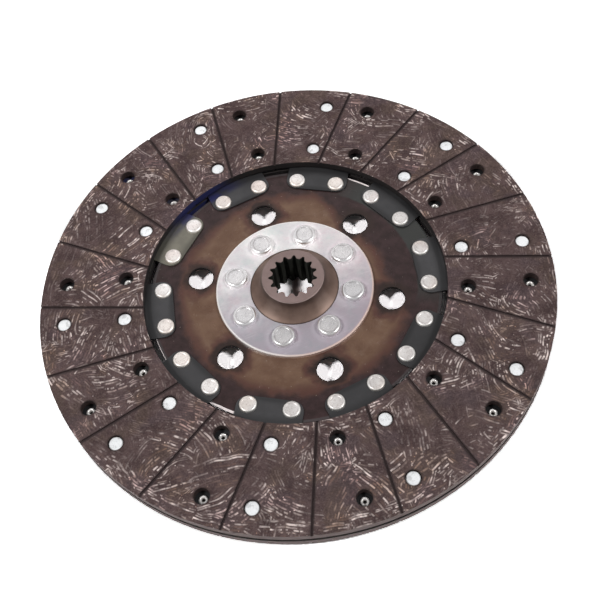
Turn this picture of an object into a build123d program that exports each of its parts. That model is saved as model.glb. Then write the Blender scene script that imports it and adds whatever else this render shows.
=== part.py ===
"""Rigid clutch disc, 305 mm: a splined hub, a carrier plate, ten cushion segments and two facings.

The disc axis is +Z. The origin is the middle of the hub's rear end, which the disc stands on.
All sizes are in millimetres and all angles in degrees. Angles are measured from the middle of
the first cushion segment, which lies on +X.
"""

from build123d import *
from math import cos, radians, sin, tan
import os

# Facings: two equal rings, the rear one being the front one turned over
FACING_RADIUS = 152.5
FACING_BORE_RADIUS = 90.5
FACING_THICKNESS = 4.76
REAR_FACE_HEIGHT = 5.1
CUSHION_TRAVEL = 2.78
GROOVES = 20
GROOVE_WIDTH = 1.4
GROOVE_DEPTH = 1.0
GROOVE_ANGLE = 7.0
GROOVE_OFFSET = 17.5  # the grooves run tangent to a circle of this radius

# Cushion segments: thin sheet, riveted flat to the carrier and waved between the facings
SEGMENTS = 10
SEGMENT_ANGLE = 360 / SEGMENTS
SEGMENT_SHEET = 1.0
PADDLE_RADIUS = 151.5
PADDLE_GAP = 1.4
NECK_OUTER_RADIUS = 91.0
NECK_INNER_REACH = 73.2
NECK_CORNER_RADIUS = 6.8
WAVE_START = 89.0
WAVE_FULL = 97.0
WAVE = ((-15.5, True), (-3.0, False), (10.5, False), (17.5, True))  # bends: place across, low

# Rows of rivets, by their circle's radius and their angle on each segment
SEGMENT_RIVET_CIRCLE = 79.8
SEGMENT_RIVET_SPREAD = 9.0
TURNOVER_ANGLE = -4.7  # the rivets of the two facings mirror each other about this line
FACING_RIVET_ROWS = {"outer": (138.2, 5.75), "inner": (102.3, 7.85)}  # radius, angle off that line

# Carrier plate
CARRIER_RADIUS = 87.3
CARRIER_THICKNESS = 2.35
VENTS = 6
VENT_CIRCLE = 58.3
VENT_RADIUS = 7.7
VENT_ANGLE = 42.1

# Clamp ring on the front of the carrier
CLAMP_RING_RADIUS = 47.2
CLAMP_RING_THICKNESS = 2.45
CLAMP_RING_EDGE = 0.4

# Hub: one forging, turned and broached
HUB_LENGTH = 24.4
HUB_PILOT_RADIUS = 26.6
HUB_FLANGE_RADIUS = 45.0
HUB_FLANGE_REAR = 4.2
HUB_FLANGE_THICKNESS = 4.2
HUB_REAR_RADIUS = 21.5
HUB_NOSE_RADIUS = 18.5
HUB_FACE_EDGE = 0.5
NOSE_WAIST = (21.0, 17.7)  # radius and height of the middle of the nose's hollow flare
SPLINE_TEETH = 15
SPLINE_MAJOR_RADIUS = 14.4
SPLINE_MINOR_RADIUS = 12.2
SPLINE_ROOT_WIDTH = 1.1
SPLINE_MOUTH_WIDTH = 3.3
SPLINE_ANGLE = 7.2
PILOT_CLEARANCE = 0.1

# Rivets: (head radius, head height, head bevel), shank radius, (tail radius, tail height)
HUB_RIVETS = 8
HUB_RIVET_CIRCLE = 35.5
HUB_RIVET_ANGLE = 26.9
HUB_RIVET_HEAD = (6.9, 3.6, 0.9)
HUB_RIVET_SHANK = 3.5
HUB_RIVET_TAIL = (5.4, 1.9)
SEGMENT_RIVET_HEAD = (5.1, 1.65, 0.8)
SEGMENT_RIVET_SHANK = 2.5
SEGMENT_RIVET_TAIL = (4.2, 1.5)
FACING_RIVET_HEAD = (4.0, 1.3)
FACING_RIVET_SHANK = 2.5
FACING_RIVET_DEPTH = 1.3  # the heads lie this far below the wear face
FACING_RIVET_TAIL = 1.1  # length of the rolled end past the segment
COUNTERBORE_RADIUS = 4.4
ACCESS_RADIUS = 4.5

# Heights that follow from the sizes above
rear_facing_top = REAR_FACE_HEIGHT + FACING_THICKNESS
front_facing_bottom = rear_facing_top + CUSHION_TRAVEL
front_face = front_facing_bottom + FACING_THICKNESS
mid_height = (rear_facing_top + front_facing_bottom) / 2
segment_bottom = mid_height - SEGMENT_SHEET / 2
segment_top = mid_height + SEGMENT_SHEET / 2
carrier_bottom = segment_bottom - CARRIER_THICKNESS
ring_top = segment_bottom + CLAMP_RING_THICKNESS
wave_lift = (CUSHION_TRAVEL - SEGMENT_SHEET) / 2


def export_piece(piece, name):
    """Label a finished piece and write its STEP file."""
    piece.label = name
    export_step(piece, f"parts/{name}.step")


os.makedirs("parts", exist_ok=True)

# ---- Hub: revolved body, broached bore, drilled flange -------------------------------------
flange_top = HUB_FLANGE_REAR + HUB_FLANGE_THICKNESS
with BuildPart() as hub:
    with BuildSketch(Plane.XZ):
        with BuildLine():
            Polyline(
                (SPLINE_MINOR_RADIUS, 0),
                (HUB_REAR_RADIUS - HUB_FACE_EDGE, 0),
                (HUB_REAR_RADIUS, HUB_FACE_EDGE),
                (HUB_REAR_RADIUS, HUB_FLANGE_REAR),
                (HUB_FLANGE_RADIUS, HUB_FLANGE_REAR),
                (HUB_FLANGE_RADIUS, flange_top),
                (HUB_PILOT_RADIUS - PILOT_CLEARANCE, flange_top),
                (HUB_PILOT_RADIUS - PILOT_CLEARANCE, ring_top),
            )
            ThreePointArc(
                (HUB_PILOT_RADIUS - PILOT_CLEARANCE, ring_top),
                NOSE_WAIST,
                (HUB_NOSE_RADIUS, HUB_LENGTH - HUB_FACE_EDGE),
            )
            Polyline(
                (HUB_NOSE_RADIUS, HUB_LENGTH - HUB_FACE_EDGE),
                (HUB_NOSE_RADIUS - HUB_FACE_EDGE, HUB_LENGTH),
                (SPLINE_MINOR_RADIUS, HUB_LENGTH),
                (SPLINE_MINOR_RADIUS, 0),
            )
        make_face()
    revolve(axis=Axis.Z)
    spline_depth = SPLINE_MAJOR_RADIUS - SPLINE_MINOR_RADIUS
    with BuildSketch():
        with PolarLocations(0, SPLINE_TEETH, start_angle=SPLINE_ANGLE):
            Polygon(
                (SPLINE_MINOR_RADIUS - spline_depth, -SPLINE_MOUTH_WIDTH / 2),
                (SPLINE_MINOR_RADIUS, -SPLINE_MOUTH_WIDTH / 2),
                (SPLINE_MAJOR_RADIUS, -SPLINE_ROOT_WIDTH / 2),
                (SPLINE_MAJOR_RADIUS, SPLINE_ROOT_WIDTH / 2),
                (SPLINE_MINOR_RADIUS, SPLINE_MOUTH_WIDTH / 2),
                (SPLINE_MINOR_RADIUS - spline_depth, SPLINE_MOUTH_WIDTH / 2),
                align=None,
            )
    extrude(amount=HUB_LENGTH, mode=Mode.SUBTRACT)
    with BuildSketch(Plane.XY.offset(HUB_FLANGE_REAR)):
        with PolarLocations(HUB_RIVET_CIRCLE, HUB_RIVETS, start_angle=HUB_RIVET_ANGLE):
            Circle(HUB_RIVET_SHANK)
    extrude(amount=HUB_FLANGE_THICKNESS, mode=Mode.SUBTRACT)
export_piece(hub.part, "hub")

# ---- Carrier plate: vented disc with both rows of rivet holes -------------------------------
with BuildPart() as carrier_plate:
    with BuildSketch(Plane.XY.offset(carrier_bottom)):
        Circle(CARRIER_RADIUS)
        Circle(HUB_PILOT_RADIUS, mode=Mode.SUBTRACT)
        with PolarLocations(VENT_CIRCLE, VENTS, start_angle=VENT_ANGLE):
            Circle(VENT_RADIUS, mode=Mode.SUBTRACT)
        with PolarLocations(HUB_RIVET_CIRCLE, HUB_RIVETS, start_angle=HUB_RIVET_ANGLE):
            Circle(HUB_RIVET_SHANK, mode=Mode.SUBTRACT)
        with PolarLocations(
            SEGMENT_RIVET_CIRCLE, 2 * SEGMENTS, start_angle=SEGMENT_RIVET_SPREAD
        ):
            Circle(SEGMENT_RIVET_SHANK, mode=Mode.SUBTRACT)
    extrude(amount=CARRIER_THICKNESS)
export_piece(carrier_plate.part, "carrier_plate")

# ---- Clamp ring: stiffens the carrier under the hub rivets ----------------------------------
with BuildPart() as clamp_ring:
    with BuildSketch(Plane.XY.offset(segment_bottom)):
        Circle(CLAMP_RING_RADIUS)
        Circle(HUB_PILOT_RADIUS, mode=Mode.SUBTRACT)
        with PolarLocations(HUB_RIVET_CIRCLE, HUB_RIVETS, start_angle=HUB_RIVET_ANGLE):
            Circle(HUB_RIVET_SHANK, mode=Mode.SUBTRACT)
    extrude(amount=CLAMP_RING_THICKNESS)
    rim = clamp_ring.edges().filter_by(GeomType.CIRCLE).group_by(SortBy.RADIUS)[-1]
    chamfer(rim.sort_by(Axis.Z)[-1], CLAMP_RING_EDGE)
export_piece(clamp_ring.part, "clamp_ring")


# ---- Cushion segments: flat neck, ramp and waved paddle, trimmed to the outline -------------
def sheet_section(radius, lift):
    """Section of the sheet across the first segment: its crests go down, up and down by lift."""
    side = PADDLE_RADIUS * sin(radians(SEGMENT_ANGLE / 2))
    crests = [(-side, -lift), *((place, -lift if low else lift) for place, low in WAVE), (side, -lift)]
    top = [(radius, across, segment_top + height) for across, height in crests]
    bottom = [(radius, across, height - SEGMENT_SHEET) for _, across, height in reversed(top)]
    return Face(Wire.make_polygon(top + bottom))


with BuildPart() as segment:
    flat_section = sheet_section(WAVE_START, 0)
    waved_section = sheet_section(WAVE_FULL, wave_lift)
    extrude(flat_section, amount=WAVE_START - NECK_INNER_REACH, dir=(-1, 0, 0))
    loft([flat_section, waved_section], ruled=True)
    extrude(waved_section, amount=PADDLE_RADIUS - WAVE_FULL, dir=(1, 0, 0))
    with BuildSketch():
        wedge_length = PADDLE_RADIUS + PADDLE_GAP
        wedge_half = wedge_length * tan(radians(SEGMENT_ANGLE / 2))
        Polygon((0, 0), (wedge_length, -wedge_half), (wedge_length, wedge_half), align=None)
        offset(amount=-PADDLE_GAP / 2, kind=Kind.INTERSECTION)
        Circle(PADDLE_RADIUS, mode=Mode.INTERSECT)
        Circle(NECK_OUTER_RADIUS, mode=Mode.SUBTRACT)
        neck_half = SEGMENT_RIVET_CIRCLE * sin(radians(SEGMENT_RIVET_SPREAD)) + NECK_CORNER_RADIUS
        neck_length = WAVE_FULL - NECK_INNER_REACH
        with Locations((NECK_INNER_REACH, 0)):
            Rectangle(neck_length, 2 * neck_half, align=(Align.MIN, Align.CENTER))
    extrude(amount=front_face, mode=Mode.INTERSECT)
    corners = segment.edges().filter_by(Axis.Z).group_by(Axis.X)[0]
    fillet(corners, NECK_CORNER_RADIUS)
    with BuildSketch():
        for angle in (-SEGMENT_RIVET_SPREAD, SEGMENT_RIVET_SPREAD):
            with PolarLocations(SEGMENT_RIVET_CIRCLE, 1, start_angle=angle):
                Circle(SEGMENT_RIVET_SHANK)
        for radius, spread in FACING_RIVET_ROWS.values():
            for angle in (TURNOVER_ANGLE - spread, TURNOVER_ANGLE + spread):
                with PolarLocations(radius, 1, start_angle=angle):
                    Circle(FACING_RIVET_SHANK)
    extrude(amount=front_face, mode=Mode.SUBTRACT)

for number in range(SEGMENTS):
    with BuildPart() as placed_segment:
        add(segment.part, rotation=(0, 0, number * SEGMENT_ANGLE))
    export_piece(placed_segment.part, f"segment_{number + 1:02d}")

# ---- Facings: grooved rings, counterbored for their own rivets, clear of the others' --------
with BuildPart() as front_facing:
    with BuildSketch(Plane.XY.offset(front_facing_bottom)):
        Circle(FACING_RADIUS)
        Circle(FACING_BORE_RADIUS, mode=Mode.SUBTRACT)
        for radius, spread in FACING_RIVET_ROWS.values():
            with PolarLocations(radius, SEGMENTS, start_angle=TURNOVER_ANGLE - spread):
                Circle(ACCESS_RADIUS, mode=Mode.SUBTRACT)
    extrude(amount=FACING_THICKNESS)
    with Locations(Plane.XY.offset(front_face)):
        for radius, spread in FACING_RIVET_ROWS.values():
            with PolarLocations(radius, SEGMENTS, start_angle=TURNOVER_ANGLE + spread):
                CounterBoreHole(
                    radius=FACING_RIVET_SHANK,
                    counter_bore_radius=COUNTERBORE_RADIUS,
                    counter_bore_depth=FACING_RIVET_DEPTH + FACING_RIVET_HEAD[1],
                    depth=FACING_THICKNESS,
                )
    with BuildSketch(Plane.XY.offset(front_face)):
        with PolarLocations(0, GROOVES, start_angle=GROOVE_ANGLE):
            with Locations(((FACING_RADIUS + FACING_BORE_RADIUS) / 2, GROOVE_OFFSET)):
                Rectangle(FACING_RADIUS, GROOVE_WIDTH)
    extrude(amount=-GROOVE_DEPTH, mode=Mode.SUBTRACT)
turnover = Axis(
    (0, 0, mid_height), (cos(radians(TURNOVER_ANGLE)), sin(radians(TURNOVER_ANGLE)), 0)
)
with BuildPart() as rear_facing:
    add(front_facing.part.rotate(turnover, 180))
export_piece(front_facing.part, "front_facing")
export_piece(rear_facing.part, "rear_facing")


# ---- Rivets: each kind is one revolved solid, set out on its circle --------------------------
def solid_rivet(head, shank, tail, low, high):
    """Rivet through plates from low to high, with a bevelled head on top and a plain tail."""
    head_radius, head_height, bevel = head
    tail_radius, tail_height = tail
    with BuildPart() as rivet:
        with BuildSketch(Plane.XZ):
            Polygon(
                (0, low - tail_height),
                (tail_radius, low - tail_height),
                (tail_radius, low),
                (shank, low),
                (shank, high),
                (head_radius, high),
                (head_radius, high + head_height - bevel / 2),
                (head_radius - bevel, high + head_height),
                (0, high + head_height),
                align=None,
            )
        revolve(axis=Axis.Z)
    return rivet.part


hub_rivet = solid_rivet(HUB_RIVET_HEAD, HUB_RIVET_SHANK, HUB_RIVET_TAIL, HUB_FLANGE_REAR, ring_top)
with BuildPart() as hub_rivets:
    with PolarLocations(HUB_RIVET_CIRCLE, HUB_RIVETS, start_angle=HUB_RIVET_ANGLE):
        add(hub_rivet)
export_piece(hub_rivets.part, "hub_rivets")

segment_rivet = solid_rivet(
    SEGMENT_RIVET_HEAD, SEGMENT_RIVET_SHANK, SEGMENT_RIVET_TAIL, carrier_bottom, segment_top
)
with BuildPart() as segment_rivets:
    with PolarLocations(SEGMENT_RIVET_CIRCLE, 2 * SEGMENTS, start_angle=SEGMENT_RIVET_SPREAD):
        add(segment_rivet)
export_piece(segment_rivets.part, "segment_rivets")

head_top = front_face - FACING_RIVET_DEPTH
head_radius, head_height = FACING_RIVET_HEAD
shank_end = front_facing_bottom - SEGMENT_SHEET - FACING_RIVET_TAIL
with BuildPart() as facing_rivet:
    with BuildSketch(Plane.XY.offset(head_top - head_height)):
        Circle(head_radius)
    extrude(amount=head_height)
    with BuildSketch(Plane.XY.offset(shank_end)):
        Circle(FACING_RIVET_SHANK)
    extrude(amount=head_top - head_height - shank_end)
for row, (radius, spread) in FACING_RIVET_ROWS.items():
    with BuildPart() as front_row:
        with PolarLocations(radius, SEGMENTS, start_angle=TURNOVER_ANGLE + spread):
            add(facing_rivet.part)
    with BuildPart() as rear_row:
        add(front_row.part.rotate(turnover, 180))
    export_piece(front_row.part, f"front_{row}_rivets")
    export_piece(rear_row.part, f"rear_{row}_rivets")
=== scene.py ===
"""Looks of a rigid clutch disc: its materials, rivets, light and camera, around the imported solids."""

from math import cos, pi, radians, sin

import bmesh
import bpy
from mathutils import Matrix, Vector


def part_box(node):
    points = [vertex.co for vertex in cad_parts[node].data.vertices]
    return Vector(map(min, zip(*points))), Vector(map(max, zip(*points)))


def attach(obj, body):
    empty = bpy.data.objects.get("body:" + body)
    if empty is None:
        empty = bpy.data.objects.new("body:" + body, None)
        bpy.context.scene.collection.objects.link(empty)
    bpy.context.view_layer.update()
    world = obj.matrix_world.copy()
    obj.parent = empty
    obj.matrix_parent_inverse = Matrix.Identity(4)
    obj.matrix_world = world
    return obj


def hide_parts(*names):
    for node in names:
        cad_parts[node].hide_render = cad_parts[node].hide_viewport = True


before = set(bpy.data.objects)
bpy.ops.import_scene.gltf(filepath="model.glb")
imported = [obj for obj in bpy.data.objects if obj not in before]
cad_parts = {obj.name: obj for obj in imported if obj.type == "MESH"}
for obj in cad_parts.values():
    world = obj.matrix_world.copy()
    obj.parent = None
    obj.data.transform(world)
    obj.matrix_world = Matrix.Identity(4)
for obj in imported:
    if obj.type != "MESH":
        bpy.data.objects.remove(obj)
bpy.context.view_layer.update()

MM = 0.001

# ---- Places, in millimetres and degrees -----------------------------------------------------


def reach(node):
    """Radius, lowest and highest point of a round node, in millimetres."""
    low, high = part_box(node)
    return high.x / MM, low.z / MM, high.z / MM


FACING_RADIUS, _, FRONT_FACE = reach("front_facing")
_, REAR_FACE, _ = reach("rear_facing")
FACING_BORE_RADIUS = 90.5
MID_HEIGHT = (FRONT_FACE + REAR_FACE) / 2
HALF_THICKNESS = (FRONT_FACE - REAR_FACE) / 2
RING_RADIUS, PLATE_FACE, RING_FACE = reach("clamp_ring")
PLATE_RADIUS, PLATE_BACK, _ = reach("carrier_plate")
SEGMENT_THICKNESS = 1.0
SEGMENT_FACE = PLATE_FACE + SEGMENT_THICKNESS
HUB_FLANGE_REAR = 4.2
_, _, NOSE_END = reach("hub")
SPLINE_RADIUS = 14.4  # over the roots of the spline
SEAM_RADIUS = 26.6  # where the hub passes through the clamp ring
TUBE_HEAD = 1.3  # thickness of a facing rivet's head, and how deep it lies below the face
TUBE_END = 0.7  # how far a facing rivet's rolled end lies past the middle height

SEGMENTS = 10
GROOVES = 20
GROOVE_ANGLE = 7.0
GROOVE_OFFSET = 17.5  # the grooves run tangent to a circle of this radius

# Patterns of holes and rivets: how many lines they stand about, where the first line is, and
# the rows, each as its circle and the degrees to each side of the line.
VENTS = (6, 42.1, ((58.3, 0.0),))
FACING_RIVETS = (SEGMENTS, -4.7, ((138.2, 5.75), (102.3, 7.85)))
SEGMENT_RIVETS = (SEGMENTS, 0.0, ((79.8, 9.0),))
HUB_RIVETS = (8, 26.9, ((35.5, 0.0),))

BLUED_SIDE = 125.0  # the segments' necks are tempered blue here, and the painted shade on the facing's bore wall above them is navy
DARK_SIDE = 22.0  # the carrier's lacquer is darkest here
HIGHLIGHT_PLACES = 4  # the hub's nose carries painted highlights at four places
HIGHLIGHT_ANGLE = 225.0  # one of them
# Painted highlights on the carrier's edge: angle, degrees to each side, and width in the middle.
HIGHLIGHT_SPOTS_ON_EDGE = ((53.0, 7.0, 0.65), (199.0, 7.0, 0.12), (238.0, 11.0, 1.2))


def solids(node):
    """Middle, lowest and highest point of each separate solid of a node, in millimetres."""
    mesh = bmesh.new()
    mesh.from_mesh(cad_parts[node].data)
    bmesh.ops.remove_doubles(mesh, verts=mesh.verts, dist=0.001 * MM)
    found = []
    left = set(mesh.verts)
    while left:
        island = []
        edge = [left.pop()]
        while edge:
            vert = edge.pop()
            island.append(vert.co / MM)
            near = {e.other_vert(vert) for e in vert.link_edges} & left
            left -= near
            edge.extend(near)
        spans = [(min(co[axis] for co in island), max(co[axis] for co in island)) for axis in range(3)]
        found.append(((sum(spans[0]) / 2, sum(spans[1]) / 2), *spans[2]))
    mesh.free()
    return sorted(found)


# ---- Shader arithmetic ----------------------------------------------------------------------


class Value:
    """A number on its way through a shader: Python arithmetic on it adds Math nodes."""

    def __init__(self, paint, socket):
        self.paint = paint
        self.socket = socket

    def __add__(self, other):
        return self.paint.math("ADD", self, other)

    def __sub__(self, other):
        return self.paint.math("SUBTRACT", self, other)

    def __rsub__(self, other):
        return self.paint.math("SUBTRACT", other, self)

    def __mul__(self, other):
        return self.paint.math("MULTIPLY", self, other)

    def __truediv__(self, other):
        return self.paint.math("DIVIDE", self, other)

    def __rtruediv__(self, other):
        return self.paint.math("DIVIDE", other, self)

    def __gt__(self, other):
        return self.paint.math("GREATER_THAN", self, other)

    def __lt__(self, other):
        return self.paint.math("LESS_THAN", self, other)

    def __abs__(self):
        return self.paint.math("ABSOLUTE", self)

    __radd__ = __add__
    __rmul__ = __mul__


class Paint:
    """The nodes of a new material, or of the room's light. Lengths in it are in millimetres."""

    def __init__(self, owner):
        owner.use_nodes = True
        self.owner = owner
        self.tree = owner.node_tree
        self.tree.nodes.clear()

    def node(self, kind, settings=None, inputs=None, output=0):
        """Add a node: its settings first, then the values or links of its sockets."""
        node = self.tree.nodes.new(kind)
        for name, value in (settings or {}).items():
            setattr(node, name, value)
        for name, value in (inputs or {}).items():
            if isinstance(value, Value):
                self.tree.links.new(value.socket, node.inputs[name])
            else:
                node.inputs[name].default_value = value
        return Value(self, node.outputs[output]) if node.outputs else node

    def other(self, value, output):
        """Another output of the node that a value comes from."""
        return Value(self, value.socket.node.outputs[output])

    def math(self, operation, *values):
        return self.node("ShaderNodeMath", {"operation": operation}, dict(enumerate(values)))

    def step(self, value, low, high):
        """0 below low and 1 above high, smooth between them; low may be the larger."""
        inputs = {"Value": value, "From Min": low, "From Max": high}
        return self.node("ShaderNodeMapRange", {"interpolation_type": "SMOOTHSTEP"}, inputs)

    def mix(self, factor, one, two, blend="MIX"):
        """Blend two colours."""
        settings = {"data_type": "RGBA", "blend_type": blend}
        colours = [value if isinstance(value, Value) else (*value, 1) for value in (one, two)]
        return self.node("ShaderNodeMix", settings, {0: factor, 6: colours[0], 7: colours[1]}, 2)

    def place(self):
        """The three coordinates of the point that is shaded."""
        point = self.node("ShaderNodeTexCoord", output="Object")
        x = self.node("ShaderNodeSeparateXYZ", inputs={0: point})
        return tuple(self.other(x, axis) * (1 / MM) for axis in "XYZ")

    def polar(self):
        """Distance of that point from the disc's axis, and its angle round it in radians."""
        x, y, _ = self.place()
        return self.length(x, y), self.math("ARCTAN2", y, x)

    def vector(self, x, y, z=0.0):
        return self.node("ShaderNodeCombineXYZ", inputs={"X": x, "Y": y, "Z": z})

    def length(self, x, y):
        return self.math("SQRT", x * x + y * y)

    def wrapped(self, angle, side, half=pi):
        """Signed radians from a side in degrees, or from the nearest of its repeats."""
        return self.math("WRAP", angle - radians(side), half, -half)

    def towards(self, angle, side):
        """1 at a side in degrees, and -1 opposite to it."""
        return self.math("COSINE", angle - radians(side))

    def noise(self, point, size, detail=2.0, roughness=0.5):
        """Cloudy noise from 0 to 1, whose lumps are about size millimetres across."""
        inputs = {"Vector": point, "Scale": 1 / size, "Detail": detail, "Roughness": roughness}
        return self.node("ShaderNodeTexNoise", inputs=inputs)

    def specks(self, point, size):
        """Distance, in sizes, from the nearest of many points about size millimetres apart."""
        inputs = {"Vector": point, "Scale": 1 / size, "Randomness": 1.0}
        return self.node("ShaderNodeTexVoronoi", inputs=inputs)

    def steepness(self):
        """How far the surface faces sideways: 0 on the faces of the disc, 1 on its walls."""
        normal = self.node("ShaderNodeNewGeometry", output="Normal")
        upright = self.other(self.node("ShaderNodeSeparateXYZ", inputs={0: normal}), "Z")
        return 1 - abs(upright)

    def finish(self, bump, **inputs):
        """Close the material with a Principled shader; bump is (height in mm, strength)."""
        height, strength = bump
        relief = {"Height": height, "Strength": strength, "Distance": MM}
        named = {"Normal": self.node("ShaderNodeBump", inputs=relief)}
        for name, value in inputs.items():
            named[name.replace("_", " ").title().replace("Ior", "IOR")] = value
        shader = self.node("ShaderNodeBsdfPrincipled", inputs=named)
        self.node("ShaderNodeOutputMaterial", inputs={"Surface": shader})
        return self.owner


def new_paint(name):
    return Paint(bpy.data.materials.new(name))


def from_axis(paint, lines, first, rows):
    """Distance in millimetres from the nearest axis of a pattern of holes or rivets."""
    radius, around = paint.polar()
    from_line = abs(paint.wrapped(around, first, pi / lines))
    nearest = 99.0  # beyond the reach of every mask that uses it
    for circle, spread in rows:
        from_row = from_line - radians(spread)
        over = radius * paint.math("COSINE", from_row) - circle
        beside = radius * paint.math("SINE", from_row)
        nearest = paint.math("MINIMUM", paint.length(over, beside), nearest)
    return nearest


# ---- Facings --------------------------------------------------------------------------------

COMPOUND = ((0.044, 0.026, 0.026), (0.090, 0.058, 0.057))  # darkest and palest
TAN_COMPOUND = (0.084, 0.060, 0.046)
PLUM_COMPOUND = (0.062, 0.044, 0.050)
PALE_GRIT = (0.150, 0.108, 0.098)
DARK_GRIT = (0.030, 0.018, 0.018)
# The brightest yarn is painted near white: partly the metal's own pale tone, partly a painted glint.
YARN = ((0.320, 0.200, 0.150), (0.960, 0.820, 0.770))  # dullest and brightest
BRASS_YARN = (0.520, 0.290, 0.170)
PINK_YARN = (0.640, 0.360, 0.350)
# Painted shade in the rivet holes, and a ragged darker ring round them on the face.
HOLE_SHADE_AND_DARK_RING = (0.022, 0.014, 0.013)
# Painted shade for the grooves: on their floors, and in the front facing's grooves with a ragged darker
# margin along them.
GROOVE_FLOOR_SHADE = (0.020, 0.013, 0.013)
GROOVE_SHADE_AND_RAGGED_EDGE = (0.030, 0.021, 0.021)
DUSTY_RIM = (0.240, 0.185, 0.175)
# Painted shade on the facings' bore walls, navy on the side where the segments are blued.
BORE_WALL_SHADE = (0.020, 0.018, 0.018)
NAVY_BORE_WALL_SHADE = (0.020, 0.025, 0.100)
# Painted shade on the facings' inner faces, where they meet the segments.
INNER_FACE_SHADE = (0.028, 0.024, 0.023)

STRAND = 21.0  # length of the strands that follow the rim and the bore
# Layers of tufts, the uppermost first: how large a tuft is, the pitch of its strokes, how far
# its pattern is moved aside, and the share of its tufts that show.
TUFTS = (
    (26.0, 1.60, 11.0, 0.50),
    (18.0, 1.50, 137.0, 0.55),
    (13.0, 1.40, 273.0, 0.60),
    (9.0, 1.30, 431.0, 0.65),
    (6.0, 1.20, 619.0, 0.65),
)


def strokes(paint, along, across, pitch, salt):
    """Broken strokes side by side in lanes: how much each point shows, and a number for its lane."""
    lane = across / pitch
    number = paint.math("FLOOR", lane)
    inputs = {"Vector": paint.vector(number, salt, pitch)}
    luck = paint.node("ShaderNodeTexWhiteNoise", {"noise_dimensions": "3D"}, inputs, "Color")
    first = paint.node("ShaderNodeSeparateColor", inputs={0: luck})
    second = paint.other(first, "Green")
    third = paint.other(first, "Blue")
    piece = along / (2.0 + 4.5 * second) + first * 40.0
    run = paint.noise(paint.vector(piece, number * 7.7, salt), 1.0, 1.0)
    from_lane = abs(lane - number - 0.5 - (second - 0.5) * 0.4)
    shown = paint.step(from_lane, 0.42, 0.12) * paint.step(run, 0.45, 0.56)
    return shown * (0.15 + 0.85 * third), third


def yarn_tufts(paint, x, y, patch, pitch, aside, cover):
    """Tufts of metal yarn: short bands hatched by slightly curved strokes, each lying its own way.

    Gives how much yarn shows, a random number for each stroke and how far the tuft reaches.
    """
    moved_x = x + aside
    moved_y = y - aside
    inputs = {"Vector": paint.vector(moved_x, moved_y), "Scale": 1 / patch, "Randomness": 0.9}
    cell = paint.node("ShaderNodeTexVoronoi", {"voronoi_dimensions": "2D"}, inputs, "Color")
    way = paint.node("ShaderNodeSeparateColor", inputs={0: cell})
    bend = paint.other(way, "Green")
    share = paint.other(way, "Blue")
    centre_x = paint.node("ShaderNodeSeparateXYZ", inputs={0: paint.other(cell, "Position")})
    from_x = moved_x - centre_x
    from_y = moved_y - paint.other(centre_x, "Y")
    angle = way * (2 * pi)
    cosine = paint.math("COSINE", angle)
    sine = paint.math("SINE", angle)
    along = from_x * cosine + from_y * sine
    straight = from_y * cosine - from_x * sine
    across = straight + (bend - 0.5) * along * along * (1.2 / patch)
    shown, luck = strokes(paint, along, across + way * 7.0, pitch, way * 71.0 + bend * 53.0)
    within = paint.step(abs(straight), patch * 0.58, patch * 0.34) * (share < cover)
    brightness = 0.50 + 0.50 * paint.math("FRACT", share * 9.0)
    reached = within * paint.step(abs(along), patch * 0.62, patch * 0.45)
    return shown * within * brightness, luck, reached


def round_strands(paint):
    """Strands along the rim and the bore: how much shows, a number for each, and where they lie."""
    point = paint.vector(*paint.place())
    radius, around = paint.polar()
    arc = around * FACING_RADIUS
    stretch = paint.math("FLOOR", arc / STRAND)
    along = arc - (stretch + 0.5) * STRAND
    across = radius + (paint.noise(point, 16.0, 1.0) - 0.5) * 7.0
    shown, luck = strokes(paint, along, across, 1.5, stretch * 3.7)
    near_rim = paint.step(radius, FACING_RADIUS - 10.0, FACING_RADIUS - 5.0)
    near_bore = paint.step(radius, FACING_BORE_RADIUS + 6.0, FACING_BORE_RADIUS + 3.0)
    patchy = paint.step(paint.noise(point, 11.0, 2.0), 0.42, 0.56)
    here = paint.math("MAXIMUM", near_rim, near_bore) * patchy
    return shown * here, luck, here


def facing_yarn(paint):
    """All the yarn in a facing: how much of it shows, and a random number for each strand."""
    x, y, z = paint.place()
    point = paint.vector(x, y, z)
    bent_x = x + (paint.noise(paint.vector(x, y, 40.0), 15.0, 1.0) - 0.5) * 5.0
    bent_y = y + (paint.noise(paint.vector(x, y, -70.0), 15.0, 1.0) - 0.5) * 5.0
    yarn, luck, covered = round_strands(paint)
    free = 1 - covered * 0.85
    for tuft in TUFTS:
        shown, chance, reached = yarn_tufts(paint, bent_x, bent_y, *tuft)
        shown = shown * free
        luck = luck + (chance - luck) * (shown > yarn)
        yarn = paint.math("MAXIMUM", yarn, shown)
        free = free * (1 - reached * 0.93)
    wear_and_shade = 0.15 + 0.85 * paint.step(paint.noise(point, 24.0, 3.0), 0.40, 0.58)
    broken = 0.35 + 0.65 * paint.step(paint.noise(point, 2.6, 2.0), 0.36, 0.60)
    # Pale flecks, painted near white as glints, in the patches where yarn shows.
    from_fleck = paint.specks(point, 2.3)
    chosen = paint.node("ShaderNodeSeparateColor", inputs={0: paint.other(from_fleck, "Color")}) > 0.80
    flecks = paint.step(from_fleck, 0.24, 0.08) * chosen * wear_and_shade
    return paint.math("MAXIMUM", yarn * wear_and_shade * broken, flecks * 0.85), luck


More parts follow.
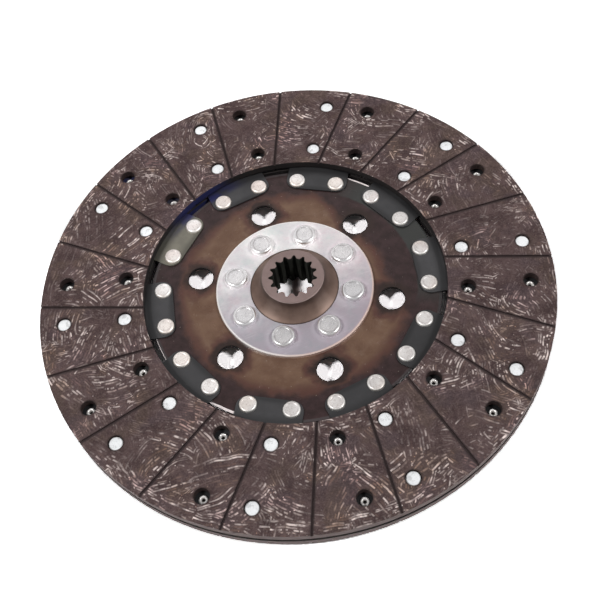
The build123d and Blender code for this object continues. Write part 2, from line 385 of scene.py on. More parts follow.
def facing_edges(paint, steepness, depth, colour):
    """Paint shade into a facing's rivet holes, grooves, bore wall and inner faces, darken a ragged ring
    round each hole and along each groove, and dust its rim.

    Gives the colour and the masks of the shaded holes with their rings, and of the bore.
    """
    x, y, z = paint.place()
    point = paint.vector(x, y, z)
    radius, around = paint.polar()
    level = paint.step(steepness, 0.6, 0.3)
    wall = paint.step(steepness, 0.4, 0.7)
    from_hole = from_axis(paint, *FACING_RIVETS)
    # Painted shade in each rivet hole, running out into a ragged darker ring on the face round it.
    hole_shade_and_ring = paint.step(from_hole - paint.noise(point, 1.8, 2.0) * 2.4, 4.4, 3.2)
    colour = paint.mix(hole_shade_and_ring * 0.6, colour, HOLE_SHADE_AND_DARK_RING)
    # Painted shade on the groove floors.
    in_groove = paint.step(depth, 0.3, 0.8) * level
    colour = paint.mix(in_groove * 0.35, colour, GROOVE_FLOOR_SHADE)
    # Painted shade in the front facing's grooves, spreading raggedly onto the face beside them.
    leaning = around - paint.math("ARCSINE", GROOVE_OFFSET / radius)
    from_groove = radius * abs(paint.wrapped(leaning, GROOVE_ANGLE, pi / GROOVES))
    groove_shade_and_edge = paint.step(from_groove - paint.noise(point, 1.6, 2.0) * 1.3, 0.85, 0.25)
    front = paint.step(z, MID_HEIGHT, FRONT_FACE)
    colour = paint.mix(groove_shade_and_edge * front * 0.65, colour, GROOVE_SHADE_AND_RAGGED_EDGE)
    rim = wall * paint.step(radius, FACING_RADIUS - 2.0, FACING_RADIUS - 1.0)
    colour = paint.mix(rim * 0.5, colour, DUSTY_RIM)
    # Painted shade on the bore wall, tinted navy on the blued side of the disc.
    bore = wall * paint.step(radius, FACING_BORE_RADIUS + 1.0, FACING_BORE_RADIUS + 0.5)
    from_blued = abs(paint.wrapped(around, BLUED_SIDE))
    blued = paint.step(from_blued, radians(18.0), radians(6.0))
    colour = paint.mix(bore * 0.95, colour, paint.mix(blued, BORE_WALL_SHADE, NAVY_BORE_WALL_SHADE))
    # Painted shade on the inner faces.
    inner = paint.step(abs(z - MID_HEIGHT), 1.8, 1.5) * level
    return paint.mix(inner, colour, INNER_FACE_SHADE), hole_shade_and_ring, bore


def facing_colour(paint, yarn, luck, grit):
    """Brown compound, and yarn of several metals where it shows."""
    x, y, z = paint.place()
    clouds = paint.noise(paint.vector(x, y, z), 12.0, 4.0, 0.65)
    hue = paint.noise(paint.vector(x, y, 200.0), 17.0, 3.0)
    cool = paint.noise(paint.vector(x, y, -300.0), 20.0, 2.0)
    brown = paint.mix(paint.step(clouds, 0.3, 0.7), *COMPOUND)
    brown = paint.mix(paint.step(hue, 0.5, 0.66) * 0.35, brown, TAN_COMPOUND)
    brown = paint.mix(paint.step(cool, 0.52, 0.66) * 0.5, brown, PLUM_COMPOUND)
    brown = paint.mix(paint.step(grit, 0.5, 0.72) * 0.45, brown, PALE_GRIT)
    brown = paint.mix(paint.step(grit, 0.48, 0.30) * 0.5, brown, DARK_GRIT)
    # The brightest yarn carries a painted glint.
    metal = paint.mix(paint.step(luck, 0.1, 0.8), *YARN)
    metal = paint.mix(paint.step(hue, 0.52, 0.64) * 0.6, metal, BRASS_YARN)
    metal = paint.mix(paint.step(cool, 0.54, 0.64) * 0.5, metal, PINK_YARN)
    return paint.mix(yarn, brown, metal)


def facing_material():
    """Pressed friction compound, dark brown, with metal yarn showing in its ground faces."""
    paint = new_paint("facing")
    x, y, z = paint.place()
    depth = HALF_THICKNESS - abs(z - MID_HEIGHT)
    steepness = paint.steepness()
    on_face = paint.step(depth, 0.35, 0.05) * paint.step(steepness, 0.6, 0.3)
    yarn, luck = facing_yarn(paint)
    yarn = yarn * on_face
    grit = paint.noise(paint.vector(x, y, z), 0.9, 3.0, 0.6)
    colour = facing_colour(paint, yarn, luck, grit)
    colour, hole_shade_and_ring, bore = facing_edges(paint, steepness, depth, colour)
    relief = (yarn * 0.04 + grit * 0.05 - hole_shade_and_ring * 0.1) * (1 - bore)
    return paint.finish(
        bump=(relief, 0.6),
        base_color=colour,
        roughness=0.66 - yarn * 0.26,
        metallic=yarn * 0.25,
        specular_ior_level=0.2,
    )


# ---- Carrier plate and cushion segments -----------------------------------------------------

BRONZE = ((0.112, 0.060, 0.038), (0.165, 0.098, 0.064))  # darkest and palest
BRONZE_STREAK = (0.095, 0.048, 0.030)
BRONZE_BLOOM = (0.200, 0.135, 0.100)
MAROON = ((0.016, 0.008, 0.009), (0.034, 0.018, 0.020))  # darkest and palest
VENT_DARKEST = (0.016, 0.009, 0.007)
RED_TINT = (0.085, 0.028, 0.024)  # between the bronze and the maroon
DUST = (0.420, 0.350, 0.300)
# Painted highlight: a paler grey band round the plate's edge.
PLATE_EDGE_HIGHLIGHT = (0.075, 0.070, 0.072)
GREYED_LACQUER = (0.034, 0.036, 0.034)
# Painted highlight on the carrier's edge.
EDGE_HIGHLIGHT_TONE = (0.780, 0.700, 0.690)
# Painted shade on the carrier's inner walls: vents, bore and rivet holes.
INNER_WALL_SHADE = (0.010, 0.007, 0.007)

# How pale each segment's skin is, from segment_01 on; the palest one's paleness and olive tint are a
# painted reflection on it.
SEGMENT_SHADES = (0.062, 0.050, 0.048, 0.056, 0.200, 0.055, 0.048, 0.052, 0.040, 0.034)
PALE_SHADE = 0.1  # a segment paler than this is olive
GREY = (1.00, 0.97, 1.02)
OLIVE_REFLECTION = (1.00, 0.93, 0.76)
TEMPER_BLUE = (0.014, 0.017, 0.095)


def lacquer_tints(paint, dark_side, clouding, blotches, streaks):
    """Bronze between the vents, and maroon round them and towards the edge."""
    radius, _ = paint.polar()
    from_vent = from_axis(paint, *VENTS)
    uneven = (clouding - 0.5) * 14.0
    halo = paint.step(from_vent + uneven, 17.0, 8.5)
    wider = paint.step(dark_side, 0.62, 0.95) * 15.0
    edge = paint.step(radius + uneven + wider, 62.0, 73.0)
    dark = paint.math("MAXIMUM", halo, edge)
    bronze = paint.mix(paint.step(clouding, 0.3, 0.7), *BRONZE)
    bronze = paint.mix(streaks * 0.4, bronze, BRONZE_STREAK)
    bronze = paint.mix(paint.step(blotches, 0.5, 0.8) * 0.4, bronze, BRONZE_BLOOM)
    maroon = paint.mix(paint.step(blotches, 0.3, 0.7), *MAROON)
    # Darkest close round each vent.
    maroon = paint.mix(halo * paint.step(from_vent, 15.0, 9.0) * 0.7, maroon, VENT_DARKEST)
    colour = paint.mix(dark * 0.95, bronze, maroon)
    turning = 1 - abs(dark * 2.0 - 1.0)
    return paint.mix(turning * (0.25 + 0.45 * blotches), colour, RED_TINT)


def painted_edge_highlights(paint, colour):
    """Paint highlights onto the carrier's edge in a few places."""
    radius, around = paint.polar()
    for side, half, width in HIGHLIGHT_SPOTS_ON_EDGE:
        near = paint.step(paint.towards(around, side), cos(radians(half)), cos(radians(half / 3)))
        line = paint.step(radius + near * width, PLATE_RADIUS - 0.4, PLATE_RADIUS - 0.2)
        colour = paint.mix(line * paint.step(near, 0.02, 0.20), colour, EDGE_HIGHLIGHT_TONE)
    return colour


def lacquer_material():
    """Glossy lacquer, bronze and maroon, dusty, greyed near the plate's edge, with painted highlights
    on that edge and painted shade on its inner walls.
    """
    paint = new_paint("carrier_lacquer")
    x, y, z = paint.place()
    point = paint.vector(x, y, z)
    radius, around = paint.polar()
    dark_side = paint.towards(around, DARK_SIDE)
    lines, first, _ = VENTS
    from_line = paint.wrapped(around, first, pi / lines)
    clouding = paint.noise(point, 13.0, 3.0, 0.6)
    blotches = paint.noise(paint.vector(x, y, 60.0), 6.0, 3.0, 0.6)
    streaks = paint.noise(paint.vector(radius * 0.35, from_line * 9.0, z), 2.2, 3.0, 0.6)
    colour = lacquer_tints(paint, dark_side, clouding, blotches, streaks)
    dust = paint.step(paint.specks(point, 4.0), 0.07, 0.03)
    colour = paint.mix(dust * 0.6, colour, DUST)
    # Painted highlight in a band round the plate's edge, where the edge catches light.
    pale_edge_band = paint.step(radius, PLATE_RADIUS - 1.9, PLATE_RADIUS - 1.3)
    colour = paint.mix(pale_edge_band * (0.2 + 0.6 * streaks), colour, PLATE_EDGE_HIGHLIGHT)
    greyed = paint.step(radius + (clouding - 0.5) * 4.0, 72.0, 73.5) * paint.step(dark_side, 0.72, 0.90)
    colour = paint.mix(greyed * 0.9, colour, GREYED_LACQUER)
    colour = painted_edge_highlights(paint, colour)
    # Painted shade on the walls inside the plate.
    wall = paint.step(paint.steepness(), 0.3, 0.6)
    inner = wall * paint.step(radius, PLATE_RADIUS - 2.0, PLATE_RADIUS - 3.0)
    colour = paint.mix(inner, colour, INNER_WALL_SHADE)
    return paint.finish(
        bump=(clouding * 0.2 + blotches * 0.1, 0.3),
        base_color=colour,
        roughness=(0.20 + streaks * 0.12) * (1 - inner) + inner,
        specular_ior_level=0.35,
    )


def segment_material(name, shade, hue):
    """Spring sheet with a satin skin, painted with shade at both ends of its neck, and tempered blue on
    one side.
    """
    paint = new_paint(name)
    x, y, z = paint.place()
    point = paint.vector(x, y, z)
    radius, around = paint.polar()
    clouds = paint.noise(point, 12.0, 3.0, 0.6)
    grain = paint.noise(point, 0.7, 2.0)
    pale = tuple(shade * channel for channel in hue)
    dark = tuple(0.45 * channel for channel in pale)
    colour = paint.mix(paint.step(clouds, 0.35, 0.65) * 0.4, pale, dark)
    # Painted shade where the neck runs in under the facing, and at its inner end.
    ends = paint.math("MAXIMUM", paint.step(radius, 77.5, 74.0), paint.step(radius, 82.5, 88.5))
    colour = paint.mix(ends * 0.9, colour, dark)
    from_blued = abs(paint.wrapped(around, BLUED_SIDE))
    blued = paint.step(from_blued, radians(24.0), radians(4.0)) * paint.step(radius, 83.0, 87.0)
    patchy = paint.step(paint.noise(paint.vector(x, y, 500.0), 14.0, 2.0), 0.30, 0.50)
    colour = paint.mix(blued * patchy * 0.85, colour, TEMPER_BLUE)
    return paint.finish(
        bump=(grain * 0.02 + clouds * 0.1, 0.4),
        base_color=colour,
        roughness=0.36 + clouds * 0.14,
        metallic=0.25,
    )


# ---- Plated steel, aluminium and the hub ----------------------------------------------------

# Skins of the plated pieces: their tones, and how much their grain shows.
RING_SKIN = {
    "pale": (0.900, 0.870, 0.865),
    "dark": (0.780, 0.750, 0.765),
    "stain": (0.780, 0.765, 0.800),
    "edge": (1.000, 0.960, 0.940),
    "speckle": 0.20,
}
ZINC_SKIN = {
    "pale": (0.930, 0.910, 0.920),
    "dark": (0.770, 0.750, 0.760),
    "stain": (0.660, 0.650, 0.660),
    "edge": (0.950, 0.950, 0.950),
    "speckle": 0.50,
}
WHITE_SKIN = {
    "pale": (0.920, 0.880, 0.860),
    "dark": (0.760, 0.720, 0.700),
    "stain": (0.640, 0.590, 0.570),
    "edge": (1.000, 0.980, 0.940),
    "speckle": 0.60,
}
TUBE_SKIN = {
    "pale": (0.940, 0.950, 0.960),
    "dark": (0.820, 0.830, 0.840),
    "stain": (0.700, 0.700, 0.700),
    # The tubular rivets' walls are painted dark as the shade in the narrow gap round each head.
    "edge": (0.420, 0.400, 0.400),
    "speckle": 0.40,
}

# Painted shade, tinted lavender, on the ring's side nearest the camera.
RING_NEAR_SHADE = (0.425, 0.385, 0.430)
RING_BLUSH = (1.000, 0.900, 0.915)
GREEN_BLOOM = (0.900, 0.970, 0.950)
PINK_BLOOM = (1.000, 0.930, 0.950)
# Painted highlight round the ring's rim.
RING_RIM_HIGHLIGHT = ((1.000, 0.960, 0.930), (0.820, 0.600, 0.520))  # white, and copper on one side
RING_SCRATCH = (0.880, 0.860, 0.870)
DISH_LINE_SHADE = (0.300, 0.280, 0.280)
BLACK = (0.0, 0.0, 0.0)
WARM_RIVET = (1.000, 0.920, 0.850)
PINK_RIVET = (1.000, 0.930, 0.920)
DARK_HEAD_RIM = (0.300, 0.290, 0.290)
STAINED_HEAD = (0.420, 0.420, 0.430)
# Pale aluminium of the rolled lips, with a painted highlight.
ROLLED_LIP_HIGHLIGHT = (0.980, 0.950, 0.920)
# Painted shade inside the tubular rivets' hollows.
TUBE_HOLLOW_SHADE = (0.030, 0.022, 0.018)

HUB_BROWN = ((0.095, 0.062, 0.050), (0.240, 0.165, 0.135))  # darkest and palest
HUB_HIGHLIGHT = (0.360, 0.270, 0.230)
NOSE_WAIST_SHADE = (0.050, 0.033, 0.028)
NOSE_FACE = ((0.215, 0.155, 0.145), (0.340, 0.255, 0.240))  # darkest and palest
NOSE_EDGE_HIGHLIGHT = (0.640, 0.520, 0.490)
HUB_SEAM_AND_SHADE = (0.022, 0.016, 0.014)
SPLINE_BORE_SHADE = (0.024, 0.027, 0.023)


def plated_skin(name, pale, dark, stain, edge, speckle):
    """A pale satin skin with faint tints and stains, and edges of their own tone.

    Gives the paint, the colour and the masks of its walls, stains and grain.
    """
    paint = new_paint(name)
    x, y, z = paint.place()
    point = paint.vector(x, y, z)
    clouds = paint.noise(point, 16.0, 3.0, 0.6)
    stains = paint.noise(paint.vector(x, y, z + 90.0), 5.0, 4.0, 0.7)
    grain = paint.noise(point, 0.8, 3.0, 0.6)
    colour = paint.mix(paint.step(clouds, 0.35, 0.65), dark, pale)
    colour = paint.mix(paint.step(stains, 0.5, 0.75) * 0.5, colour, stain)
    colour = paint.mix(paint.step(grain, 0.50, 0.66) * speckle, colour, stain, "MULTIPLY")
    wall = paint.step(paint.steepness(), 0.06, 0.25)
    colour = paint.mix(wall * 0.9, colour, edge)
    return paint, colour, wall, stains, grain


def ring_material():
    """The clamp ring's plating: bluish white, painted darker and lavender on its near side as shade,
    with a painted highlight round its rim and fine scratches.
    """
    paint, colour, wall, stains, grain = plated_skin("ring_zinc", **RING_SKIN)
    x, y, z = paint.place()
    radius, _ = paint.polar()
    # Painted shade: darker and lavender on the side nearest the camera.
    nearer = (x * 0.12 - y) / RING_RADIUS
    near_shade = paint.step(nearer + (stains - 0.5) * 0.7, -0.85, 0.80)
    colour = paint.mix(near_shade * (1 - wall), colour, RING_NEAR_SHADE)
    blush = paint.step(x / RING_RADIUS + (stains - 0.5), 0.0, 1.0)
    colour = paint.mix(blush * 0.5, colour, RING_BLUSH, "MULTIPLY")
    bloom = paint.noise(paint.vector(x, y, 700.0), 9.0, 4.0, 0.65)
    colour = paint.mix(paint.step(bloom, 0.52, 0.66) * 0.8, colour, GREEN_BLOOM, "MULTIPLY")
    colour = paint.mix(paint.step(bloom, 0.48, 0.36) * 0.8, colour, PINK_BLOOM, "MULTIPLY")
    # Painted highlight round the rim, white on one side and copper-coloured on the other.
    lip = paint.step(radius, RING_RADIUS - 1.3, RING_RADIUS - 0.5)
    copper = paint.step(nearer + x / RING_RADIUS, 0.2, 1.2)
    colour = paint.mix(lip * 0.8, colour, paint.mix(copper, *RING_RIM_HIGHLIGHT))
    scratch = paint.noise(paint.vector(x * 0.12 + y * 0.05, y * 1.6 - x * 0.4, z), 1.5, 2.0)
    colour = paint.mix(paint.step(scratch, 0.60, 0.72) * 0.15, colour, RING_SCRATCH)
    pressed = paint.step(from_axis(paint, *HUB_RIVETS), 12.0, 9.0)
    return paint.finish(
        bump=(grain * 0.03 + stains * 0.15, 0.35),
        base_color=colour,
        roughness=0.36 + stains * 0.10 + pressed * 0.20,
        metallic=0.60,
    )


def rivet_material(name, skin, rivets, roughness, metallic, line, darker, warmth):
    """Plating of the solid rivets, with a faint line of painted shade round the dish of each head.

    How metallic it is is given for the top and for the wall, and the line as its radius and how
    dark it is. One pair gives the side of the disc, in degrees, where the rivets are painted with
    shade, and how much; warmth says how warm the warmest of all are.
    """
    paint, colour, wall, stains, grain = plated_skin(name, **skin)
    x, y, _ = paint.place()
    line_radius, line_shade = line
    # Painted shade: a faint line round the dish of each head.
    from_line = abs(from_axis(paint, *rivets) - line_radius + (stains - 0.5) * 0.8)
    wear_and_shade = paint.step(from_line, 0.6, 0.2) * (0.3 + 0.7 * paint.step(stains, 0.40, 0.60))
    colour = paint.mix(wear_and_shade * line_shade, colour, DISH_LINE_SHADE)
    # Painted shade: the rivets on one side of the disc are darkened towards black.
    side, amount = darker
    _, _, ((circle, _),) = rivets
    towards = (x * cos(radians(side)) + y * sin(radians(side))) / circle
    colour = paint.mix(paint.step(towards, -0.3, 0.6) * amount, colour, BLACK)
    warm = paint.noise(paint.vector(x, y, 900.0), 26.0, 1.0)
    colour = paint.mix(paint.step(warm, 0.44, 0.60) * warmth, colour, WARM_RIVET, "MULTIPLY")
    pink = paint.noise(paint.vector(x, y, -900.0), 17.0, 1.0)
    colour = paint.mix(paint.step(pink, 0.50, 0.62) * warmth, colour, PINK_RIVET, "MULTIPLY")
    on_top, on_wall = metallic
    return paint.finish(
        bump=((grain * 0.08 + stains * 0.2) * (1 - wall * 0.9), 0.35),
        base_color=colour,
        roughness=(roughness + stains * 0.15) * (1 + wall * 0.35),
        metallic=on_top + (on_wall - on_top) * wall,
    )


def tube_material():
    """Aluminium of the tubular rivets: bluish white heads with walls painted dark as shade, rolled lips
    with a painted highlight, and hollows painted dark as shade.
    """
    paint, colour, _, stains, grain = plated_skin("tube_rivet", **TUBE_SKIN)
    _, _, z = paint.place()
    from_middle = abs(z - MID_HEIGHT)
    top = HALF_THICKNESS - TUBE_HEAD
    head = paint.step(from_middle, top - 1.6, top - 1.4)
    # A ragged ring round the rim of each head's top is darker.
    ragged = from_axis(paint, *FACING_RIVETS) + (stains - 0.5) * 1.6
    colour = paint.mix(head * paint.step(ragged, 3.3, 3.9) * 0.7, colour, DARK_HEAD_RIM)
    colour = paint.mix(head * paint.step(stains, 0.52, 0.62) * 0.45, colour, STAINED_HEAD)
    # Painted highlight: the rolled lips are painted near white.
    lip = paint.step(from_middle, TUBE_END + 1.0, TUBE_END + 0.4)
    colour = paint.mix(lip, colour, ROLLED_LIP_HIGHLIGHT)
    # Painted shade inside the hollow.
    hollow = paint.step(from_middle, TUBE_END + 0.5, TUBE_END + 1.0)
    hollow = hollow * paint.step(from_middle, TUBE_END + 2.6, TUBE_END + 2.4)
    colour = paint.mix(hollow, colour, TUBE_HOLLOW_SHADE)
    return paint.finish(
        bump=(grain * 0.05 + stains * 0.15, 0.35),
        base_color=colour,
        roughness=0.36 + stains * 0.1 - lip * 0.14,
        metallic=0.10 + lip * 0.2,
    )


def hub_material():
    """Turned steel, browned, with tool marks round the axis; its nose has painted highlights at four
    places and along its edge, and painted shade under its end face, at its seam and down its bore.
    """
    paint = new_paint("hub_steel")
    x, y, z = paint.place()
    point = paint.vector(x, y, z)
    radius, around = paint.polar()
    marks = paint.noise(paint.vector(radius * 3.0, z * 3.0), 1.6, 2.0)
    clouds = paint.noise(point, 7.0, 4.0, 0.6)
    grain = paint.noise(point, 0.6, 2.0)
    colour = paint.mix(clouds, *HUB_BROWN)
    # Painted highlights at four places round the nose.
    lobes = paint.math("COSINE", (around - radians(HIGHLIGHT_ANGLE)) * HIGHLIGHT_PLACES)
    painted_highlight = paint.step(lobes + (clouds - 0.5), 0.2, 1.1)
    colour = paint.mix(painted_highlight * 0.3, colour, HUB_HIGHLIGHT)
    # Painted shade below the nose's end face.
    waist = paint.step(z, NOSE_END - 6.0, NOSE_END - 2.0)
    colour = paint.mix(waist * 0.55, colour, NOSE_WAIST_SHADE)
    end = paint.step(z, NOSE_END - 0.9, NOSE_END - 0.1)
    colour = paint.mix(end, colour, paint.mix(clouds, *NOSE_FACE))
    # Painted highlight along the edge of the nose's end face.
    edge = paint.step(z, NOSE_END - 0.8, NOSE_END - 0.5) * (1 - end)
    colour = paint.mix(edge * 0.9, colour, NOSE_EDGE_HIGHLIGHT)
    # A dark joint where the hub meets the clamp ring, widened by painted contact shade.
    seam = paint.step(radius, SEAM_RADIUS - 0.9, SEAM_RADIUS - 0.2)
    colour = paint.mix(seam * 0.85, colour, HUB_SEAM_AND_SHADE)
    # Painted shade down the spline bore.
    inside = paint.step(radius, SPLINE_RADIUS + 0.5, SPLINE_RADIUS)
    inside = inside * paint.step(z, NOSE_END - 0.1, NOSE_END - 0.6)
    colour = paint.mix(inside * 0.95, colour, SPLINE_BORE_SHADE)
    return paint.finish(
        bump=(marks * 0.05 + grain * 0.03, 0.5),
        base_color=colour,
        roughness=0.48 + clouds * 0.12 + inside * 0.3,
        metallic=0.72 * (1 - inside),
        specular_ior_level=0.1,
    )


def paint_solids():
    """Give each carried-over solid its material."""
    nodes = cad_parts
    nodes["carrier_plate"].data.materials[0] = lacquer_material()
    nodes["hub"].data.materials[0] = hub_material()
    nodes["clamp_ring"].data.materials[0] = ring_material()
    facing = facing_material()
    for node in ("front_facing", "rear_facing"):
        nodes[node].data.materials[0] = facing
    for number, shade in enumerate(SEGMENT_SHADES, 1):
        name = f"segment_{number:02d}"
        # The palest segment is painted olive as a reflection on it.
        hue = OLIVE_REFLECTION if shade > PALE_SHADE else GREY
        nodes[name].data.materials[0] = segment_material(name, shade, hue)


# ---- Rivets ---------------------------------------------------------------------------------

# Solid rivets: radius of the head, rounding of its edge, radius of the shallow dish in its top,
# and radii of the shank and of the closing head.
HUB_RIVET = {"head": 6.9, "rounding": 1.6, "dish": 4.6, "shank": 3.5, "tail": 5.4}
SEGMENT_RIVET = {"head": 5.1, "rounding": 1.3, "dish": 3.4, "shank": 2.5, "tail": 4.2}
TAIL_ROUNDING = 0.6
DISH_DEPTH = 0.28

TUBE_HEAD_RADIUS = 4.0
TUBE_HEAD_ROUNDING = 0.3
TUBE_SHANK_RADIUS = 2.5
TUBE_HOLLOW_RADIUS = 1.15
TUBE_HOLLOW_DEPTH = 3.0
TUBE_LIP = 0.7  # radius of the rolled lip's section

ROUND_SIDES = 48
SHARP_ANGLE = 50.0  # a turned piece's edges are shaded sharp from this angle on


def turned(name, profile, places):
    """Revolve a closed profile of (radius, height) points round each place's own upright axis.

    A place is (x, y, mirror height or None): a piece with a mirror height is turned over about it.
    """
    mesh = bmesh.new()
    angles = [2 * pi * k / ROUND_SIDES for k in range(ROUND_SIDES)]
    spokes = [(cos(angle), sin(angle)) for angle in angles]
    for across, along, mirror in places:
        rings = []
        for radius, height in profile:
            if mirror is not None:
                height = 2 * mirror - height
            used = spokes if radius > 0 else spokes[:1]
            spots = [Vector((across + radius * i, along + radius * j, height)) * MM for i, j in used]
            rings.append([mesh.verts.new(spot) for spot in spots])
        for low, high in zip(rings, rings[1:]):
            for k in range(ROUND_SIDES):
                corners = [low[k % len(low)], low[(k + 1) % len(low)]]
                corners += [high[(k + 1) % len(high)], high[k % len(high)]]
                mesh.faces.new(list(dict.fromkeys(corners))).smooth = True
    bmesh.ops.recalc_face_normals(mesh, faces=mesh.faces)
    data = bpy.data.meshes.new(name)
    mesh.to_mesh(data)
    mesh.free()
    data.set_sharp_from_angle(angle=radians(SHARP_ANGLE))
    piece = bpy.data.objects.new(name, data)
    bpy.context.scene.collection.objects.link(piece)
    return piece


def bow(centre, size, start, end, steps=6):
    """Points of an arc: its centre, radius, and the angles where it starts and ends."""
    angles = [radians(start + (end - start) * k / steps) for k in range(steps + 1)]
    return [(centre[0] + size * cos(angle), centre[1] + size * sin(angle)) for angle in angles]


def solid_rivet(head, rounding, dish, shank, tail, low, plates, high):
    """Profile of a pressed rivet: a plain closing head, a shank through the plates and a flat head.

    Plates are the outer heights of the two that it holds together, low and high its own ends. The
    flat end has a ring of its own at its border, which keeps it shaded flat.
    """
    flat_end = tail - TAIL_ROUNDING
    return [
        (0, low),
        (flat_end, low),
        *bow((flat_end, low + TAIL_ROUNDING), TAIL_ROUNDING, -90, 0),
        (tail, plates[0]),
        (shank, plates[0]),
        (shank, plates[1]),
        (head, plates[1]),
        *bow((head - rounding, high - rounding), rounding, 0, 90),
        (dish + 0.3, high),
        (dish, high - DISH_DEPTH + 0.04),
        (dish - 0.4, high - DISH_DEPTH),
        (0, high - DISH_DEPTH / 2),
    ]


def tube_rivet(low, seat, high):
    """Profile of a tubular rivet: the hollow and rolled lip of its end, its shank and its flat head."""
    hollow_end = low + TUBE_HOLLOW_DEPTH
    lip_centre = (TUBE_HOLLOW_RADIUS + TUBE_LIP, low + TUBE_LIP)
    head_corner = (TUBE_HEAD_RADIUS - TUBE_HEAD_ROUNDING, high - TUBE_HEAD_ROUNDING)
    return [
        (0, hollow_end),
        (TUBE_HOLLOW_RADIUS, hollow_end),
        (TUBE_HOLLOW_RADIUS, low + TUBE_LIP),
        *bow(lip_centre, TUBE_LIP, 180, 360, 12),
        (TUBE_SHANK_RADIUS - 0.05, low + 2 * TUBE_LIP),
        (TUBE_SHANK_RADIUS, seat),
        (TUBE_HEAD_RADIUS - 0.1, seat),
        (TUBE_HEAD_RADIUS, seat + 0.12),
        *bow(head_corner, TUBE_HEAD_ROUNDING, 0, 90, 4),
        (TUBE_HEAD_RADIUS / 2, high),
        (0, high),
    ]


def add_rivets(node, profile, places, material):
    """One piece for all the rivets of a node."""
    piece = turned(f"{node}_turned", profile, places)
    piece.data.materials.append(material)
    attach(piece, "root")
    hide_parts(node)


def place_solid_rivets(node, sizes, plates, material):
    """The solid rivets of a node, each in the place of its solid."""
    found = solids(node)
    _, low, high = found[0]
    profile = solid_rivet(**sizes, low=low, plates=plates, high=high)
    places = [(*middle, None) for middle, _, _ in found]
    add_rivets(node, profile, places, material)


def place_tube_rivets(material):
    """The tubular rivets of both facings; those of the rear one are turned over."""
    _, low, high = solids("front_outer_rivets")[0]
    profile = tube_rivet(low, high - TUBE_HEAD, high)
    for side, mirror in (("front", None), ("rear", MID_HEIGHT)):
        for row in ("outer", "inner"):
            node = f"{side}_{row}_rivets"
            places = [(*middle, mirror) for middle, _, _ in solids(node)]
            add_rivets(node, profile, places, material)


def place_rivets():
    """Every rivet as a turned piece in the place of its solid."""
    zinc = rivet_material(
        "rivet_zinc",
        ZINC_SKIN,
        HUB_RIVETS,
        roughness=0.20,
        metallic=(0.60, 0.95),
        line=(4.9, 0.55),
        darker=(290.0, 0.19),
        warmth=0.1,
    )
    white = rivet_material(
        "rivet_white",
        WHITE_SKIN,
        SEGMENT_RIVETS,
        roughness=0.30,
        metallic=(0.25, 0.95),
        line=(3.5, 0.30),
        darker=(325.0, 0.16),
        warmth=0.5,
    )
    place_solid_rivets("hub_rivets", HUB_RIVET, (HUB_FLANGE_REAR, RING_FACE), zinc)
    place_solid_rivets("segment_rivets", SEGMENT_RIVET, (PLATE_BACK, SEGMENT_FACE), white)
    place_tube_rivets(tube_material())


# ---- Studio ---------------------------------------------------------------------------------

CAMERA_PLACE = (4.011, -317.60, 520.31)
CAMERA_TILT = 34.021  # off straight down
CAMERA_ROLL = -9.099
CAMERA_TURN = -0.47  # round the upright axis
CAMERA_LENS = 60.16
CAMERA_SHIFT = -0.0833

LAMPS = ((0.700, -0.250, 1.0), (-0.670, -0.190, 1.0))  # the way to each lamp
LAMP_STRENGTH = 1.60
LAMP_WIDTH = 8.0  # in degrees
BACK_LAMP_PLACE = (-0.25, 0.55, 0.50)  # in metres, as its size is
BACK_LAMP_SIZE = 0.5
BACK_LAMP_POWER = 2.0
AMBIENT = 0.08  # light of the room on the disc, where white paint under all lamps shows as 1
CEILING = 0.20  # how bright the ceiling is where it is mirrored
SIDES = 0.80  # and the sides and the back
FRONT = 0.95  # and the side nearest to the camera

FLOOR_HALF = 3.0  # in metres
FLOOR_LIT = (0.55, 0.54, 0.54)  # what lights the disc from below
# How the floor looks where it is seen or mirrored.
FLOOR_IN_VENTS = (2.00, 1.93, 1.95)
FLOOR_AROUND = (2.15, 2.15, 2.15)
FLOOR_BEHIND = (1.15, 1.15, 1.15)
FLOOR_IN_BORE = (2.00, 1.94, 1.96)
BORE_SHADOW = ((0.40, 0.30, 0.31), (1.10, 0.84, 0.80))  # down the bore's middle: behind, in front


def place_camera():
    camera = bpy.data.objects.new("camera", bpy.data.cameras.new("camera"))
    bpy.context.scene.collection.objects.link(camera)
    camera.matrix_world = (
        Matrix.Translation(Vector(CAMERA_PLACE) * MM)
        @ Matrix.Rotation(radians(CAMERA_TURN), 4, "Z")
        @ Matrix.Rotation(radians(CAMERA_TILT), 4, "X")
        @ Matrix.Rotation(radians(CAMERA_ROLL), 4, "Z")
    )
    camera.data.lens = CAMERA_LENS
    camera.data.shift_y = CAMERA_SHIFT
    bpy.context.scene.camera = camera


def add_lamp(name, kind, way):
    lamp = bpy.data.objects.new(name, bpy.data.lights.new(name, kind))
    lamp.rotation_euler = Vector(way).to_track_quat("Z", "Y").to_euler()
    bpy.context.scene.collection.objects.link(lamp)
    return lamp


def place_lamps():
    """Two small high lamps, and a soft one behind."""
    for number, way in enumerate(LAMPS):
        lamp = add_lamp(f"lamp_{number + 1}", "SUN", way)
        lamp.data.energy = LAMP_STRENGTH
        lamp.data.angle = radians(LAMP_WIDTH)
    lamp = add_lamp("back_lamp", "AREA", BACK_LAMP_PLACE)
    lamp.location = BACK_LAMP_PLACE
    lamp.data.size = BACK_LAMP_SIZE
    lamp.data.energy = BACK_LAMP_POWER
    lamp.visible_glossy = False


def ray_kinds(paint):
    """Two masks: rays from the eye, and rays mirrored in metal or passed through glass."""
    seen = paint.node("ShaderNodeLightPath", output="Is Camera Ray")
    glossy = paint.other(seen, "Is Glossy Ray")
    passed = paint.other(seen, "Is Transmission Ray")
    return seen, paint.math("MAXIMUM", glossy, passed)


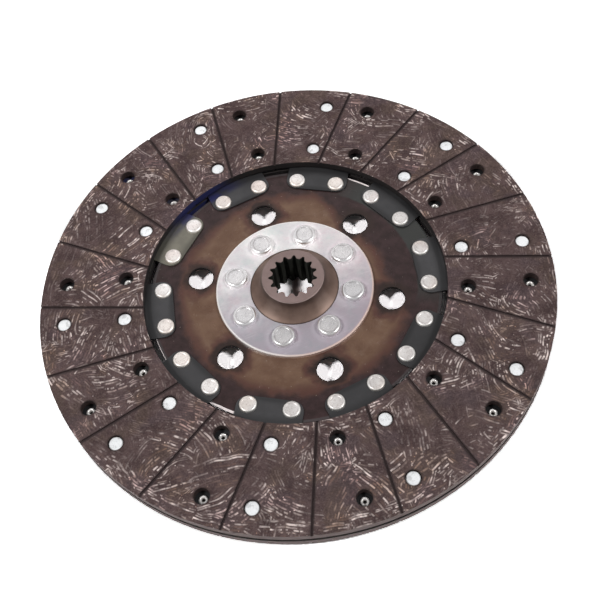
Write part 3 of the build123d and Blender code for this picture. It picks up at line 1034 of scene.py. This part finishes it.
def build_room():
    """A room that is white to the eye, dim as light, and mirrored with pale sides, back and front."""
    world = bpy.data.worlds.new("room")
    bpy.context.scene.world = world
    paint = Paint(world)
    way = paint.node("ShaderNodeTexCoord", output="Generated")
    way_x = paint.node("ShaderNodeSeparateXYZ", inputs={0: way})
    way_y = paint.other(way_x, "Y")
    sides = paint.step(abs(way_x), 0.35, 0.75)
    back = paint.step(way_y, 0.25, 0.60)
    front = paint.step(way_y, -0.70, -0.92)
    room = CEILING + (SIDES - CEILING) * paint.math("MAXIMUM", sides, back)
    room = paint.math("MAXIMUM", room, FRONT * front)
    seen, mirrored = ray_kinds(paint)
    strength = AMBIENT + (room - AMBIENT) * mirrored * (1 - seen) + (1 - AMBIENT) * seen
    light = paint.node("ShaderNodeBackground", inputs={"Color": (1, 1, 1, 1), "Strength": strength})
    paint.node("ShaderNodeOutputWorld", inputs={"Surface": light})


def floor_material():
    """Plain and pale as a light; where it is seen or mirrored it is painted white."""
    paint = new_paint("floor")
    x, y, _ = paint.place()
    radius, _ = paint.polar()
    outside = paint.step(radius, 100.0, 140.0)
    white = paint.mix(outside, FLOOR_IN_VENTS, FLOOR_AROUND)
    white = paint.mix(outside * paint.step(y, 20.0, 100.0), white, FLOOR_BEHIND)
    in_bore = paint.step(radius, SPLINE_RADIUS + 1.6, SPLINE_RADIUS - 0.4)
    from_middle = paint.step(abs(x - y * 0.1), 0.5, 5.5)
    middle = paint.mix(paint.step(y, 9.0, 1.0), *BORE_SHADOW)
    white = paint.mix(in_bore, white, paint.mix(from_middle, middle, FLOOR_IN_BORE))
    seen, mirrored = ray_kinds(paint)
    colour = paint.mix(paint.math("MAXIMUM", seen, mirrored), FLOOR_LIT, white)
    shader = paint.node("ShaderNodeBsdfDiffuse", inputs={"Color": colour})
    paint.node("ShaderNodeOutputMaterial", inputs={"Surface": shader})
    return paint.owner


def lay_floor():
    half = FLOOR_HALF
    data = bpy.data.meshes.new("floor")
    corners = [(-half, -half, 0), (half, -half, 0), (half, half, 0), (-half, half, 0)]
    data.from_pydata(corners, [], [(0, 1, 2, 3)])
    data.materials.append(floor_material())
    floor = bpy.data.objects.new("floor", data)
    bpy.context.scene.collection.objects.link(floor)


bpy.context.scene.view_settings.view_transform = "Standard"
place_camera()
place_lamps()
build_room()
lay_floor()
paint_solids()
place_rivets()
